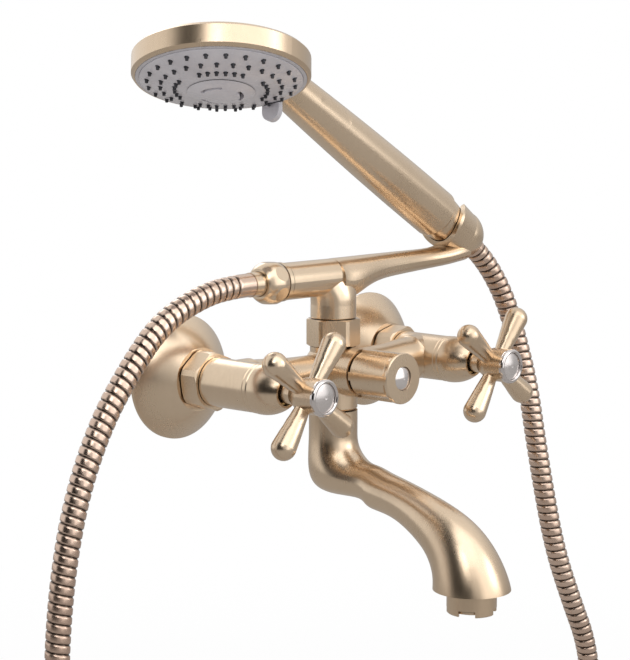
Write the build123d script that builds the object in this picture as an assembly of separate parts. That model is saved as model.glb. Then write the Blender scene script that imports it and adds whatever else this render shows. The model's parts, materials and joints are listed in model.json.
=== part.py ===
from build123d import *
from math import cos, radians, sin, sqrt
import os

# Wall-mounted two-handle bath mixer with a swivel spout, a diverter and a hand shower in a cradle.
# Millimetres. X runs right as seen from the front, Y runs into the wall, Z runs up.
# The origin is on the finished wall, midway between the two wall studs.

# Layout
inlet_spacing = 150.0
axis_rise = 8.0
stem_out = 43.0
thread_gap = 0.05
slip_gap = 0.2

# Eccentric unions and wall flanges
stud_radius = 10.4
stud_length = 22.0
stud_bore = 5.5
union_thread_radius = 13.2
union_bore = 8.0
union_hub_radius = 15.5
union_hub_length = 8.5
flange_radius = 33.2
flange_edge = 1.8
flange_depth = 17.6
flange_wall = 1.8

# Union nuts, washers and tails
nut_flats = 28.6
nut_turn_left = 39.0
nut_turn_right = 14.0
nut_clearance = 0.6
nut_length = 11.5
nut_wall = 3.0
washer_thickness = 2.0
tail_collar = 2.7
tail_radius = 9.6
tail_bore = 6.8
tail_grip = 7.0

# Mixer body
barrel_radius = 12.9
barrel_gap = 0.4
barrel_end = 64.0
barrel_bead = 0.45
bead_width = 2.6
seat_wall = 2.0
seat_bore = 5.0
chamber_radius = 9.6
bridge_radius = 9.6
bridge_bore = 5.0
boss_radius = 13.2
boss_end = 64.6
core_radius = 16.2
neck_radius = 12.7
neck_top = 13.0
lower_neck_radius = 13.2
lower_neck_end = 21.2

# Ceramic cartridges
nose_radius = 8.9
nose_bore = 7.7
seal_thickness = 1.8
disc_thickness = 3.0
disc_clearance = 0.25
disc_hole = 2.0
disc_hole_offset = 4.0
driver_thickness = 3.5
spindle_radius = 4.0
bearing_gap = 0.05
spindle_end = 91.5
spline_radius = 3.8
spline_start = 79.6
cartridge_hex_flats = 19.0
cartridge_hex_end = 69.0
cartridge_neck_radius = 6.3
cartridge_neck_end = 78.6

# Bonnet covers
bonnet_start = 64.3
bonnet_radius = 13.0
bonnet_end = 81.2
bonnet_mouth = 6.9
bonnet_lip = 1.0
bonnet_wall = 1.5

# Cross handles
arm_count = 4
arm_turn = 53.0
arm_height = 96.0
arm_reach = 36.3
arm_tip_radius = 6.4
arm_root_radius = 4.0
handle_neck_radius = 5.6
handle_web = 1.4
hub_start = 88.5
hub_radius = 9.2
hub_front = 105.4
hub_bore = 6.1
screw_shank = 2.1
screw_head_radius = 3.9
screw_head_height = 2.6
screw_length = 10.0
index_ring_radius = 9.5
index_ring_height = 2.8
index_radius = 7.3
index_peg_length = 7.0
index_crown = 1.0

# Diverter
core_bore = 9.6
core_back = 13.0
sleeve_wall = 1.9
sleeve_neck_radius = 8.2
sleeve_neck_end = 76.0
rotor_clearance = 0.1
rotor_end = 53.5
port_radius = 4.4
knob_start = 65.3
knob_front = 93.3
knob_body_radius = 11.9
knob_rim_radius = 13.6
knob_rim_width = 2.2
rib_width = 4.4
rib_radius = 13.3
rib_count = 4
knob_spline_end = 87.5
knob_web = 1.6
button_radius = 6.3
button_depth = 2.4
button_crown = 1.1

# Swivel spout: each section's upper point and lower point, as distance from the wall and
# height over the mixer axis, and its half width
spout_gap = 0.8
spout_radius = 13.3
spout_wall = 2.4
neck_half = 31.0
spout_stations = [
    (56.2, -37.5, 29.7, -42.0, 13.7),
    (59.5, -44.5, 32.1, -61.0, 15.3),
    (66.9, -48.7, 50.2, -68.0, 13.6),
    (80.4, -51.4, 73.0, -71.7, 11.5),
    (97.2, -55.4, 91.6, -76.0, 11.0),
    (114.7, -60.4, 104.7, -82.8, 12.1),
    (132.4, -67.6, 113.6, -89.6, 14.4),
    (149.3, -81.6, 118.8, -96.6, 17.4),
]
spout_reach = 97.6
floor_lean = 3.0
mouth_drop = 104.7
mouth_radius = 20.3
rim_height = 2.5
rim_flare = 0.6
stub_radius = 9.0
stub_length = 10.6
ring_section = 1.7
ring_spacing = 2.7
ring_drop = 1.5
set_screw_radius = 1.5
set_screw_rise = 2.6
set_groove_half = 1.6
stub_groove = 1.2

# Aerator
aerator_radius = 13.0
aerator_drop = 12.1
aerator_thread_radius = 11.8
aerator_thread_length = 7.5
aerator_wall = 2.2
aerator_slot = 8.7
aerator_slot_depth = 3.2
aerator_turn = -27.0
aerator_washer = 1.6
aerator_lip = 1.2
aerator_seat = 1.3
mesh_bars = 7

# Shower holder on top of the body
nipple_radius = 10.2
nipple_length = 7.0
passage_radius = 5.5
holder_nut_flats = 26.4
holder_nut_turn = 45.0
holder_nut_length = 14.7
holder_nut_wall = 3.6
holder_washer_thickness = 2.0
holder_collar = 2.5
holder_tail_radius = 8.2
holder_tail_grip = 9.0
stem_radius = 12.4
arm_axis = 50.7
outlet_arm_radius = 9.9
outlet_arm_end = 40.4
stem_blend = [  # height, half width along the arm and half depth, where the stem runs into the arm
    (arm_axis - 16.0, stem_radius, stem_radius),
    (arm_axis - 13.0, stem_radius, stem_radius),
    (arm_axis - 10.0, stem_radius + 0.4, stem_radius - 0.2),
    (arm_axis - 7.0, stem_radius + 1.4, stem_radius - 0.9),
    (arm_axis - 4.0, stem_radius + 3.1, stem_radius - 1.8),
    (arm_axis - 1.0, stem_radius + 5.1, outlet_arm_radius - 0.3),
    (arm_axis + 2.0, stem_radius + 6.6, outlet_arm_radius - 1.3),
]
outlet_nipple_radius = 9.6
outlet_nipple_length = 9.0
outlet_collar_radius = 10.4
outlet_collar_width = 2.6
outlet_plug_radius = 7.4
outlet_plug_length = 9.0
check_valve_radius = 6.2
check_valve_length = 12.0

# Cradle and hand shower: the handle's lower end and its slope
hand_x = 85.8
hand_z = 80.6
hand_slope = 30.4
cradle_rim = -5.8
cradle_length = 37.6
cradle_radius = 15.2
cradle_waist_radius = 14.1
cradle_end_radius = 8.8
cradle_saddle = 18.0
cradle_slot = 16.0
cone_flange = 5.0
cone_top_radius = 12.6
cone_end_radius = 9.6
cone_length = 30.0
cone_gap = 0.35
cradle_exit_radius = 7.2
inlet_nipple_length = 9.0
hand_washer = 1.5
hose_flange = 2.0
handle_bottom_radius = 14.1
handle_mid_radius = 13.0
handle_top_radius = 10.2
handle_mid = 78.0
handle_top = 150.0
handle_join = 172.0
handle_bore = 7.5
head_distance = 188.8
head_drop = 23.9
head_radius = 44.9
head_band = 12.4
head_dome = 8.0
head_wall = 2.0
head_tip_angle = 14.6
head_twist = 14.5
face_crown = 8.0
face_thickness = 2.4
selector_width = 1.8
selector_depth = 2.6
tab_width = 11.0
tab_drop = 10.6
tab_thickness = 3.4
tab_turn = 0.5

# Nozzle rings: radius, count and start angle
outer_ring = (37.0, 24, 1.0)
middle_ring = (30.3, 24, 8.5)
inner_ring_radius = 23.2
inner_groups = 4
inner_start = 49.5
slot_start = 81.5
inner_group_count = 6
inner_step = 10.9
nozzle_radius = 1.15
nozzle_tip_radius = 0.8
nozzle_rise = 1.6
nozzle_gap = 0.1
mat_thickness = 1.4
centre_disc_radius = 17.6
centre_disc_rise = 1.5
slot_radius = 10.4
slot_width = 2.0
fine_slot_radius = 14.6
fine_slot_width = 0.7
plate_gap = 0.3
plate_thickness = 2.4
gasket_section = 1.8

# Hose: its outer and bore radius, and the ribs along it
hose_radius = 6.15
hose_bore = 4.3
hose_groove = 0.5
rib_share = 0.66
hose_ribs = 200
hose_lead = 25.0
outlet_lead = 9.0
ball_nut_radius = 11.6
ball_nut_flats = 21.6
ball_nut_length = 13.4
ball_nut_wall = 3.0
ferrule_radius = 6.45
ferrule_end = 63.8
hose_route_points = [
    (-95.4, -43.0, 48.3),
    (-124.9, -43.0, 36.7),
    (-145.9, -43.0, 15.4),
    (-165.7, -43.0, -10.5),
    (-181.9, -43.0, -45.8),
    (-191.9, -43.2, -89.8),
    (-196.6, -44.5, -139.4),
    (-194.5, -46.8, -193.1),
    (-184.1, -50.7, -248.7),
    (-164.3, -55.6, -303.0),
    (-134.3, -62.0, -352.6),
    (-94.4, -70.0, -392.6),
    (-47.7, -79.0, -414.5),
    (1.7, -86.0, -416.4),
    (49.7, -90.0, -400.4),
    (93.3, -91.2, -370.8),
    (130.3, -90.5, -332.9),
    (158.8, -89.6, -292.0),
    (177.0, -88.8, -251.9),
    (183.7, -88.2, -215.2),
    (179.3, -87.4, -182.9),
    (167.3, -83.5, -153.6),
    (157.9, -78.2, -122.7),
    (153.6, -72.9, -88.8),
    (151.2, -67.3, -54.6),
    (149.9, -62.1, -22.9),
    (146.3, -56.1, 4.5),
    (142.0, -50.6, 27.7),
    (131.9, -46.2, 47.3),
]

os.makedirs("parts", exist_ok=True)


def write(name, *solids):
    """One STEP file for a sub-part, or for a group of like ones."""
    found = [s for shape in solids for s in shape.solids()]
    export_step(found[0] if len(found) == 1 else Compound(children=found), f"parts/{name}.step")


def flat(point):
    return (point[0], 0, point[1])


def turned(start, *moves):
    """Solid of revolution about Z from (radius, height) points; a pair of points is an arc."""
    lines, here = [], start
    for move in (*moves, start):
        end = move[1] if isinstance(move[0], tuple) else move
        if isinstance(move[0], tuple):
            lines.append(ThreePointArc(flat(here), flat(move[0]), flat(end)))
        else:
            lines.append(Line(flat(here), flat(end)))
        here = end
    return revolve(make_face(lines), Axis.Z)


def cap_arc(radius, low, rise):
    """Arc of a spherical dome that starts at the radius and ends on the axis, rise higher."""
    way = 1 if rise > 0 else -1
    ball = (radius ** 2 + rise ** 2) / (2 * abs(rise))
    half = radius * 0.5
    return (half, low + way * (abs(rise) - ball + sqrt(ball ** 2 - half ** 2))), (0, low + rise)


def tube(outer, inner, low, high):
    return turned((inner, low), (outer, low), (outer, high), (inner, high))


def rod(radius, low, high):
    return Pos(0, 0, low) * Cylinder(radius, high - low, align=(Align.CENTER, Align.CENTER, Align.MIN))


def block(width, depth, low, high):
    return Pos(0, 0, low) * Box(width, depth, high - low, align=(Align.CENTER, Align.CENTER, Align.MIN))


def hexagon(flats, low, high, turn=0.0):
    """Hexagonal bar with its corners taken off at both ends."""
    bar = Pos(0, 0, low) * extrude(Rot(0, 0, turn) * RegularPolygon(flats / sqrt(3), 6), high - low)
    face = flats / 2 + 0.3
    corner = flats / 2 + 1.4
    drop = (corner - face) * 0.6
    return bar & turned((0, low), (face, low), (corner, low + drop), (corner, high - drop), (face, high), (0, high))


def across(radius, reach):
    """Round bar along the local X axis."""
    return Rot(0, 90, 0) * Cylinder(radius, 2 * reach)


def upright(radius, low, high):
    """Round bar along the local Y axis, which is the real vertical in a front frame."""
    return Rot(-90, 0, 0) * rod(radius, low, high)


def front(x, rise=axis_rise):
    """Frame at the wall that looks out of it: local Z is the distance from the wall, local Y is up."""
    return Plane(origin=(x, 0, rise), x_dir=(1, 0, 0), z_dir=(0, -1, 0))


def upward(height=0.0):
    """Frame on the vertical axis of the body, with height over the mixer axis."""
    return Plane(origin=(0, -stem_out, axis_rise + height), x_dir=(1, 0, 0), z_dir=(0, 0, 1))


def outlet():
    """Frame on the holder's arm that looks left, towards the hose."""
    return Plane(origin=(0, -stem_out, axis_rise + arm_axis), x_dir=(0, -1, 0), z_dir=(-1, 0, 0))


def hand():
    """Frame at the handle's lower end, with local Z along the handle and local Y up and outwards."""
    slope = radians(hand_slope)
    origin = (hand_x, -stem_out, axis_rise + hand_z)
    return Plane(origin=origin, x_dir=(0, -1, 0), z_dir=(-cos(slope), 0, sin(slope)))


side_x = inlet_spacing / 2
nut_start = flange_depth + nut_clearance
nut_end = nut_start + nut_length
collar_end = nut_end - nut_wall
collar_start = collar_end - tail_collar
union_end = collar_start - washer_thickness
barrel_start = nut_end + barrel_gap
seat = barrel_start + tail_grip + seat_wall
fixed_disc_start = seat + seal_thickness
moving_disc_start = fixed_disc_start + disc_thickness
driver_start = moving_disc_start + disc_thickness
driver_end = driver_start + driver_thickness
web_end = spindle_end + thread_gap + handle_web


# Wall side
def eccentric_union(x):
    hub_low = 0.6
    hub_high = hub_low + union_hub_length
    stud = Pos(0, -axis_rise, 0) * rod(stud_radius, -stud_length, hub_high)
    hub = Pos(0, -axis_rise / 2, 0) * rod(union_hub_radius, hub_low, hub_high)
    neck = rod(union_thread_radius, hub_low, union_end)
    way_in = Pos(0, -axis_rise, 0) * rod(stud_bore, -stud_length, hub_high - 1)
    way_out = rod(union_bore, hub_high - 4.5, union_end)
    return front(x) * (stud + hub + neck - way_in - way_out)


def wall_flange(x):
    mouth = union_thread_radius + slip_gap
    crown = union_thread_radius + 3.6
    bulge = ((flange_radius + crown) / 2 + 2.4, flange_depth * 0.48)
    inner_bulge = (bulge[0] - flange_wall, bulge[1] - flange_wall)
    shell = turned(
        (flange_radius - flange_wall, 0),
        (flange_radius, 0),
        (flange_radius, flange_edge),
        (bulge, (crown, flange_depth)),
        (mouth, flange_depth),
        (mouth, flange_depth - 2 * flange_wall),
        (crown, flange_depth - 2 * flange_wall),
        (inner_bulge, (flange_radius - flange_wall, flange_edge)),
    )
    return front(x) * shell


def union_nut(x):
    nut = hexagon(nut_flats, nut_start, nut_end, nut_turn_left if x < 0 else nut_turn_right)
    thread = rod(union_thread_radius + thread_gap, nut_start, collar_end)
    hole = rod(tail_radius + slip_gap, nut_start, nut_end)
    return front(x) * (nut - thread - hole)


def union_washer(x):
    return front(x) * tube(union_thread_radius - 0.3, union_bore, union_end, collar_start)


def union_tail(x):
    collar = rod(union_thread_radius - 0.2, collar_start, collar_end)
    pipe = rod(tail_radius, collar_start, barrel_start + tail_grip)
    return front(x) * (collar + pipe - rod(tail_bore, collar_start, barrel_start + tail_grip))


# Body casting
def body_side(x):
    bead_low = barrel_end - bead_width
    barrel = turned(
        (0, barrel_start),
        (barrel_radius, barrel_start),
        (barrel_radius - 0.2, bead_low - 0.6),
        (barrel_radius - 0.5, bead_low - 0.3),
        (barrel_radius - 0.5, bead_low),
        (barrel_radius - 0.5 + barrel_bead, bead_low + 0.5),
        (barrel_radius - 0.5 + barrel_bead, barrel_end - 0.5),
        (barrel_radius - 0.5, barrel_end),
        (0, barrel_end),
    )
    return front(x) * barrel


def bridge():
    """Waisted tube between the barrels, thickest at the middle and at both ends."""
    shoulder = side_x - barrel_radius + 1.6
    edges = [Line((0, 0, 0), (0, bridge_radius, 0))]
    waist = [(0, bridge_radius, 0), (side_x * 0.34, bridge_radius, 0), (side_x * 0.62, bridge_radius + 0.9, 0),
             (side_x * 0.79, bridge_radius + 1.9, 0), (shoulder, barrel_radius - 0.3, 0)]
    edges.append(Spline(waist, tangents=[(1, 0), (0.6, 0.8)]))
    edges.append(Line((shoulder, barrel_radius - 0.3, 0), (side_x, barrel_radius - 0.3, 0)))
    edges.append(Line((side_x, barrel_radius - 0.3, 0), (side_x, 0, 0)))
    edges.append(Line((side_x, 0, 0), (0, 0, 0)))
    right = revolve(make_face(edges), Axis.X)
    both = right + mirror(right, Plane.YZ)
    return Pos(0, -stem_out, axis_rise) * both


def mixer_body():
    middle = front(0)
    body = body_side(-side_x) + body_side(side_x) + bridge()
    core_cut = sqrt(core_radius ** 2 - neck_radius ** 2) + 0.1
    body += Pos(0, -stem_out, axis_rise) * (Sphere(core_radius) & block(60, 60, -core_cut - 5, core_cut))
    body += middle * rod(boss_radius, stem_out, boss_end)
    body += upward() * turned(
        (0, -lower_neck_end),
        (lower_neck_radius - 0.6, -lower_neck_end),
        (lower_neck_radius, -lower_neck_end + 0.8),
        (lower_neck_radius, 0),
        (neck_radius, 0),
        (neck_radius, neck_top),
        (nipple_radius, neck_top),
        (nipple_radius, neck_top + nipple_length),
        (0, neck_top + nipple_length),
    )
    for x in (-side_x, side_x):
        body -= front(x) * rod(tail_radius + thread_gap, barrel_start, seat - seat_wall)
        body -= front(x) * rod(seat_bore, barrel_start, seat)
        body -= front(x) * rod(chamber_radius, seat, barrel_end)
    body -= Pos(0, -stem_out, axis_rise) * across(bridge_bore, side_x)
    body -= middle * rod(core_bore, stem_out - core_back, boss_end)
    body -= upward() * rod(passage_radius, 0, neck_top + nipple_length)
    body -= upward() * rod(passage_radius, -lower_neck_end + 4, 0)
    body -= upward() * rod(stub_radius + slip_gap, -lower_neck_end, -lower_neck_end + stub_length - spout_gap + 0.4)
    body -= set_screw_hole()
    return body


def set_screw_hole():
    height = axis_rise - lower_neck_end + set_screw_rise
    return Pos(0, -stem_out, height) * Rot(-90, 0, 0) * rod(set_screw_radius, 0, lower_neck_radius + 1)


# Cartridges
def cartridge_housing(x):
    thread_low = 54.0
    thread_high = barrel_end
    nose = rod(nose_radius, seat + 0.2, thread_low)
    thread = rod(chamber_radius - thread_gap, thread_low, thread_high)
    flange = hexagon(cartridge_hex_flats, thread_high, cartridge_hex_end, 30)
    neck = rod(cartridge_neck_radius, cartridge_hex_end, cartridge_neck_end)
    body = nose + thread + flange + neck
    body -= rod(nose_bore, seat + 0.2, driver_end + 0.5)
    body -= rod(spindle_radius + bearing_gap, driver_end, cartridge_neck_end)
    window_low = driver_start + 0.2
    body -= block(2 * nose_radius + 2, 8.0, window_low, driver_end)
    return front(x) * body


def cartridge_seal(x):
    return front(x) * tube(nose_bore - 0.1, seat_bore, seat, fixed_disc_start)


def ceramic_disc(x, low, radius):
    disc = rod(radius, low, low + disc_thickness)
    for side in (-1, 1):
        disc -= Pos(side * disc_hole_offset, 0, 0) * rod(disc_hole, low, low + disc_thickness)
    return disc


def fixed_disc(x):
    return front(x) * ceramic_disc(x, fixed_disc_start, nose_bore - 0.1)


def moving_disc(x):
    disc = Rot(0, 0, 90) * ceramic_disc(x, moving_disc_start, nose_bore - disc_clearance)
    disc -= block(3.2, 11.0, driver_start - 1.4, driver_start)
    return front(x) * disc


def spindle(x):
    driver = rod(nose_bore - disc_clearance - 0.1, driver_start, driver_end)
    key = block(3.0, 10.6, driver_start - 1.3, driver_start + 1)
    shaft = rod(spindle_radius, driver_start, spline_start)
    spline = rod(spline_radius, spline_start, spindle_end)
    hole = rod(screw_shank + thread_gap, spindle_end - screw_length + handle_web - 0.5, spindle_end)
    return front(x) * (driver + key + shaft + spline - hole)


def bonnet_cover(x):
    start = bonnet_start
    belly = (bonnet_radius - 1.2, start + (bonnet_end - start) * 0.55)
    tip = bonnet_mouth + bonnet_lip
    cover = turned(
        (bonnet_radius - bonnet_wall, start),
        (bonnet_radius - 0.3, start),
        (bonnet_radius, start + 0.4),
        (bonnet_radius, start + 1.6),
        (belly, (tip, bonnet_end)),
        (bonnet_mouth, bonnet_end),
        (bonnet_mouth, bonnet_end - 1.2),
        (bonnet_radius - bonnet_wall, cartridge_hex_end + 0.4),
    )
    return front(x) * cover


# Cross handles
def handle_arm():
    root = arm_root_radius
    tip = arm_tip_radius
    start = hub_radius * 0.4
    shoulder = arm_reach - tip * 1.02
    swell = (root * 0.35 + tip * 0.65, shoulder * 0.72)
    profile = [(root, start), (root, hub_radius), (swell, (tip, shoulder)), cap_arc(tip, shoulder, arm_reach - shoulder)]
    return turned((0, start), *profile)


def cross_handle(x):
    hub = turned(
        (0, spline_start),
        (handle_neck_radius, spline_start),
        (handle_neck_radius, hub_start - 1.5),
        ((hub_radius * 0.78, hub_start + 1.0), (hub_radius, hub_start + 6.0)),
        (hub_radius, hub_front),
        (0, hub_front),
    )
    handle = hub
    for step in range(arm_count):
        angle = arm_turn + 360 / arm_count * step
        handle += Pos(0, 0, arm_height) * Rot(0, 0, angle) * Rot(0, 90, 0) * handle_arm()
    handle -= rod(spline_radius + thread_gap, spline_start, spindle_end + thread_gap)
    handle -= rod(screw_shank + thread_gap, spline_start, hub_front)
    handle -= rod(hub_bore, web_end, hub_front)
    return front(x) * handle


def screw(seat_height):
    head = turned(
        (0, seat_height),
        (screw_head_radius, seat_height),
        (screw_head_radius, seat_height + screw_head_height * 0.6),
        cap_arc(screw_head_radius, seat_height + screw_head_height * 0.6, screw_head_height * 0.4),
    )
    shank = rod(screw_shank, seat_height - screw_length, seat_height + 0.5)
    low, high = seat_height + screw_head_height * 0.4, seat_height + screw_head_height + 1
    return head + shank - block(1.0, 4.6, low, high) - block(4.6, 1.0, low, high)


def handle_screw(x):
    return front(x) * screw(web_end)


def index_ring(x):
    low, high = hub_front, hub_front + index_ring_height
    ring = turned(
        (index_radius + 0.1, low),
        (index_ring_radius - 0.2, low),
        (index_ring_radius, low + 0.8),
        ((index_ring_radius - 0.5, high - 0.4), (index_ring_radius - 1.1, high)),
        (index_radius + 0.5, high),
        (index_radius + 0.1, high - 0.5),
    )
    return front(x) * ring


def index_cap(x):
    high = hub_front + index_ring_height - 1.2
    cap = turned(
        (0, hub_front - index_peg_length),
        (hub_bore - 0.1, hub_front - index_peg_length),
        (hub_bore - 0.1, hub_front),
        (index_radius, hub_front),
        (index_radius, high),
        cap_arc(index_radius, high, index_crown),
    )
    return front(x) * cap


# Diverter
sleeve_radius = core_bore - thread_gap
rotor_radius = sleeve_radius - sleeve_wall - rotor_clearance
sleeve_back = stem_out - core_back + 0.3


def diverter_sleeve():
    body = rod(sleeve_radius, sleeve_back, boss_end)
    body += rod(sleeve_neck_radius, boss_end - 1, sleeve_neck_end)
    body -= rod(sleeve_radius - sleeve_wall, sleeve_back, rotor_end + 0.3)
    body -= rod(spindle_radius + bearing_gap, rotor_end, sleeve_neck_end)
    body -= Pos(0, 0, stem_out) * across(port_radius, sleeve_radius + 1)
    body -= Pos(0, 0, stem_out) * Rot(90, 0, 0) * Cylinder(port_radius, 2 * sleeve_radius + 2)
    return front(0) * body


def diverter_rotor():
    drum = rod(rotor_radius, sleeve_back, rotor_end)
    shaft = rod(spindle_radius, rotor_end - 1, sleeve_neck_end + 0.6)
    spline = rod(spline_radius, sleeve_neck_end, knob_spline_end)
    rotor = drum + shaft + spline
    rotor -= Pos(0, 0, stem_out) * across(port_radius, rotor_radius + 1)
    rotor -= Pos(0, -rotor_radius, stem_out) * Rot(90, 0, 0) * Cylinder(port_radius, 2 * rotor_radius)
    rotor -= rod(screw_shank + thread_gap, knob_spline_end - screw_length + knob_web - 0.5, knob_spline_end)
    return front(0) * rotor


def diverter_knob():
    rim_low = knob_front - knob_rim_width
    knob = turned(
        (0, knob_start),
        (knob_body_radius - 0.6, knob_start),
        (knob_body_radius, knob_start + 0.6),
        (knob_body_radius, rim_low - 2.6),
        ((knob_body_radius + 0.5, rim_low - 1.0), (knob_rim_radius, rim_low + 0.6)),
        (knob_rim_radius, knob_front - 0.5),
        (knob_rim_radius - 0.5, knob_front),
        (0, knob_front),
    )
    rib = Pos(rib_radius - 2.5, 0, 0) * block(5.0, rib_width, knob_start + 0.6, rim_low + 0.4)
    rib &= rod(rib_radius, knob_start, knob_front)
    for step in range(rib_count):
        knob += Rot(0, 0, 360 / rib_count * step) * rib
    knob -= rod(sleeve_neck_radius + 0.5, knob_start, sleeve_neck_end + 1)
    knob -= rod(spline_radius + thread_gap, knob_start, knob_spline_end + thread_gap)
    knob -= rod(screw_shank + thread_gap, knob_start, knob_front)
    knob -= rod(button_radius + 0.1, knob_spline_end + knob_web, knob_front)
    return front(0) * knob


def diverter_screw():
    seat_height = knob_spline_end + knob_web
    head = rod(screw_head_radius, seat_height, seat_height + 1.5)
    shank = rod(screw_shank, seat_height - screw_length, seat_height + 0.5)
    return front(0) * (head + shank)


def diverter_button():
    high = knob_front - 0.3
    button = turned(
        (0, high - button_depth),
        (button_radius, high - button_depth),
        (button_radius, high - 0.5),
        cap_arc(button_radius, high - 0.5, button_crown + 0.5),
    )
    return front(0) * button


# Swivel spout
def spout_sections(trim):
    """Ellipses along the spout's curve, made smaller by trim for the waterway."""
    neck = lower_neck_end + spout_gap
    rim = mouth_drop - rim_height
    mouth_out = stem_out + spout_reach
    rows = [(stem_out + spout_radius, -rise, stem_out - spout_radius, -rise, spout_radius) for rise in (neck, (neck + neck_half) / 2, neck_half)]
    rows += spout_stations
    rows.append((mouth_out + mouth_radius - rim_flare, -rim, mouth_out - mouth_radius, -rim, mouth_radius - rim_flare / 2))
    rows.append((mouth_out + mouth_radius, -mouth_drop, mouth_out - mouth_radius, -mouth_drop, mouth_radius))
    faces = []
    for upper_out, upper_rise, lower_out, lower_rise, half_width in rows:
        upper = Vector(0, -upper_out, axis_rise + upper_rise)
        lower = Vector(0, -lower_out, axis_rise + lower_rise)
        frame = Plane(origin=(upper + lower) * 0.5, x_dir=(1, 0, 0), z_dir=Vector(1, 0, 0).cross(upper - lower))
        faces.append(frame * scale(Circle(1), by=(half_width - trim, (upper - lower).length / 2 - trim, 1)))
    return faces


def spout():
    outside = loft(spout_sections(0))
    floor = -mouth_drop + aerator_thread_length + aerator_washer + aerator_seat
    floor_out = stem_out + spout_reach - floor_lean
    floor_face = Pos(0, -floor_out, axis_rise + floor) * Circle(mouth_radius - 2 * spout_wall)
    inside = loft(spout_sections(spout_wall)[2:-3] + [floor_face])
    top = -lower_neck_end - spout_gap
    stub_top = top + stub_length
    stub = upward() * rod(stub_radius, top - 8, stub_top)
    body = outside - inside + stub
    body -= upward() * rod(passage_radius, -46.0, stub_top)
    ring_low = stub_top - ring_drop
    for step in range(2):
        height = ring_low - step * ring_spacing
        body -= upward() * tube(stub_radius + 1, stub_radius - ring_section, height - 1.0, height + 1.0)
    groove = -lower_neck_end + set_screw_rise
    body -= upward() * tube(stub_radius + 1, stub_radius - stub_groove, groove - set_groove_half, groove + set_groove_half)
    mouth = Pos(0, -stem_out - spout_reach, axis_rise - mouth_drop)
    body -= mouth * rod(aerator_thread_radius + thread_gap, -1, aerator_thread_length + aerator_washer)
    body -= mouth * rod(aerator_radius - aerator_wall - aerator_lip, -1, aerator_thread_length + aerator_washer + aerator_seat + 1)
    return body


def spout_o_rings():
    top = -lower_neck_end - spout_gap + stub_length - ring_drop
    rings = []
    for step in range(2):
        height = top - step * ring_spacing
        rings.append(upward() * tube(stub_radius + slip_gap / 2, stub_radius - ring_section + 0.05, height - 0.9, height + 0.9))
    return rings


def spout_set_screw():
    height = axis_rise - lower_neck_end + set_screw_rise
    shank = rod(set_screw_radius - 0.05, stub_radius - stub_groove + 0.3, lower_neck_radius - 0.6)
    socket = extrude(RegularPolygon(0.8, 6), 2)
    return Pos(0, -stem_out, height) * Rot(-90, 0, 0) * (shank - Pos(0, 0, lower_neck_radius - 2.4) * socket)


# Aerator
def mouth_frame():
    return Plane(origin=(0, -stem_out - spout_reach, axis_rise - mouth_drop), x_dir=(1, 0, 0), z_dir=(0, 0, -1))


def aerator_shell():
    shell = turned(
        (aerator_radius - aerator_wall, 0.3),
        (aerator_radius, 0.3),
        (aerator_radius, aerator_drop - 0.6),
        (aerator_radius - 0.6, aerator_drop),
        (aerator_radius - aerator_wall, aerator_drop),
    )
    shell += tube(aerator_thread_radius, aerator_radius - aerator_wall, -aerator_thread_length, 1)
    shell += tube(aerator_radius - aerator_wall + 0.5, aerator_radius - aerator_wall - aerator_lip, aerator_drop - 2.4, aerator_drop - 1.2)
    for turn in (aerator_turn, aerator_turn + 90):
        slot = block(2 * aerator_radius + 2, aerator_slot, aerator_drop - aerator_slot_depth, aerator_drop + 1)
        inside = rod(aerator_radius - aerator_wall, -20, 20)
        shell -= Rot(0, 0, turn) * (slot - inside)
    return mouth_frame() * shell


def aerator_insert():
    radius = aerator_radius - aerator_wall - 0.15
    low, high = -aerator_thread_length, aerator_drop - 2.5
    insert = tube(radius, radius - 1.3, low, high)
    step = 2 * (radius - 1.3) / (mesh_bars + 1)
    for index in range(mesh_bars):
        place = (index + 1) * step - (radius - 1.3)
        reach = 2 * sqrt((radius - 0.6) ** 2 - place ** 2)
        insert += Pos(place, 0, 0) * block(0.9, reach, high - 2.0, high - 0.4)
        insert += Pos(0, place, 0) * block(reach, 0.9, high - 2.0, high - 0.4)
    insert += rod(radius - 1.0, low + 1.5, low + 3.0) - sieve(radius - 3.2, low)
    return mouth_frame() * insert


def sieve(reach, low):
    holes = []
    for ring, count in ((reach * 0.35, 6), (reach * 0.8, 12)):
        for step in range(count):
            holes.append(Rot(0, 0, 360 / count * step) * Pos(ring, 0, 0) * rod(0.8, low, low + 5))
    together = holes[0]
    for hole in holes[1:]:
        together += hole
    return together


def aerator_washer_ring():
    low = -aerator_thread_length - aerator_washer
    return mouth_frame() * tube(aerator_thread_radius - 0.1, aerator_radius - aerator_wall - aerator_lip, low, -aerator_thread_length)


# Shower holder
holder_washer_low = neck_top + nipple_length
holder_collar_low = holder_washer_low + holder_washer_thickness
holder_collar_high = holder_collar_low + holder_collar
holder_nut_low = holder_collar_high + holder_nut_wall - holder_nut_length
stem_start = holder_collar_high + holder_nut_wall + 0.4


def holder_nut():
    nut = hexagon(holder_nut_flats, holder_nut_low, holder_nut_low + holder_nut_length, holder_nut_turn - 30)
    nut -= rod(nipple_radius + thread_gap, neck_top, holder_collar_high)
    nut -= rod(neck_radius + slip_gap, holder_nut_low - 1, neck_top + 0.01) if holder_nut_low < neck_top else rod(0.1, -300, -299)
    nut -= rod(holder_tail_radius + slip_gap, neck_top, holder_nut_low + holder_nut_length)
    return upward() * nut


def holder_washer():
    return upward() * tube(nipple_radius - 0.1, passage_radius, holder_washer_low, holder_collar_low)


def holder_tail():
    collar = rod(nipple_radius - 0.1, holder_collar_low, holder_collar_high)
    pipe = rod(holder_tail_radius, holder_collar_low, stem_start + holder_tail_grip)
    return upward() * (collar + pipe - rod(passage_radius, holder_collar_low, stem_start + holder_tail_grip))


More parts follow.
